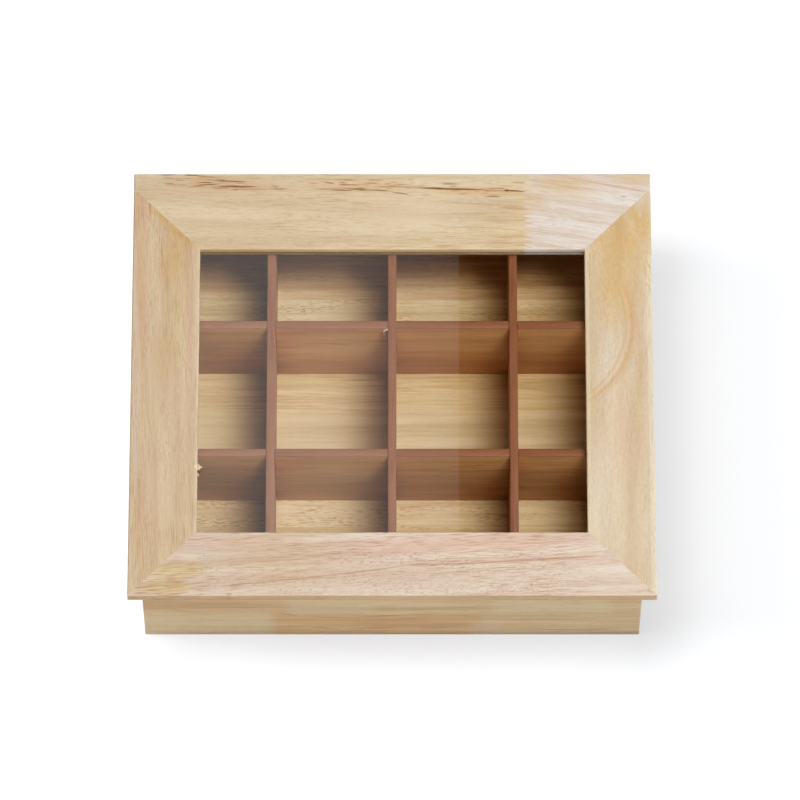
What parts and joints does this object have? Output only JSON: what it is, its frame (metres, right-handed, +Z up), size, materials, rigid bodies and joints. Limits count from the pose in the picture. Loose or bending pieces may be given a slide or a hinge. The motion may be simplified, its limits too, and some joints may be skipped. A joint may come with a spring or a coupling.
{
  "type": "tea bag organizer box",
  "caption": "Flat wooden box with a hinged, windowed lid over a grid of compartments for wrapped tea bags.",
  "frame": {"origin": "middle of the box's footprint, on the surface it stands on", "axes": "+X to the right side, -Y to the front, +Z up; the hinges are at +Y"},
  "size_m": [0.34, 0.3, 0.092],
  "materials": {
    "rail_wood": "pale rubberwood, sanded, thin satin lacquer",
    "pink_rail_wood": "pale pinkish rubberwood, sanded, thin satin lacquer",
    "wall_wood": "warm brown rubberwood, sanded, thin satin lacquer",
    "floor_wood": "pale figured rubberwood boards, glued edge to edge",
    "stained_wood": "red-brown stained wood, matt",
    "tongue_wood": "bare hardwood tongue, hidden in the joint",
    "clear_acrylic": "clear polished acrylic sheet",
    "hinge_brass": "brass plated hinge, satin",
    "screw_steel": "bright countersunk slotted screw"
  },
  "bodies": {
    "base": {"front_wall": "wall_wood", "back_wall": "wall_wood", "left_wall": "wall_wood", "right_wall": "wall_wood", "floor_board_front": "floor_wood", "floor_board_mid_front": "floor_wood", "floor_board_mid_back": "floor_wood", "floor_board_back": "floor_wood", "long_divider_left": "stained_wood", "long_divider_middle": "stained_wood", "long_divider_right": "stained_wood", "cross_divider_front": "stained_wood", "cross_divider_back": "stained_wood", "hinge_base_leaf_left": "hinge_brass", "hinge_base_leaf_right": "hinge_brass", "hinge_pin_left": "hinge_brass", "hinge_pin_right": "hinge_brass", "base_leaf_screws": "screw_steel"},
    "lid": {"lid_front_rail": "pink_rail_wood", "lid_left_rail": "rail_wood", "lid_right_rail": "rail_wood", "lid_back_rail_long": "rail_wood", "lid_back_rail_short": "pink_rail_wood", "mitre_tongues": "tongue_wood", "window_pane": "clear_acrylic", "hinge_lid_leaf_left": "hinge_brass", "hinge_lid_leaf_right": "hinge_brass", "lid_leaf_screws": "screw_steel"}
  },
  "joints": [
    {"name": "lid_hinge", "type": "hinge", "parent": "base", "child": "lid", "pos_m": [0, 0.1424, 0.084], "axis": [-1, 0, 0], "range_deg": [0, 107]}
  ]
}
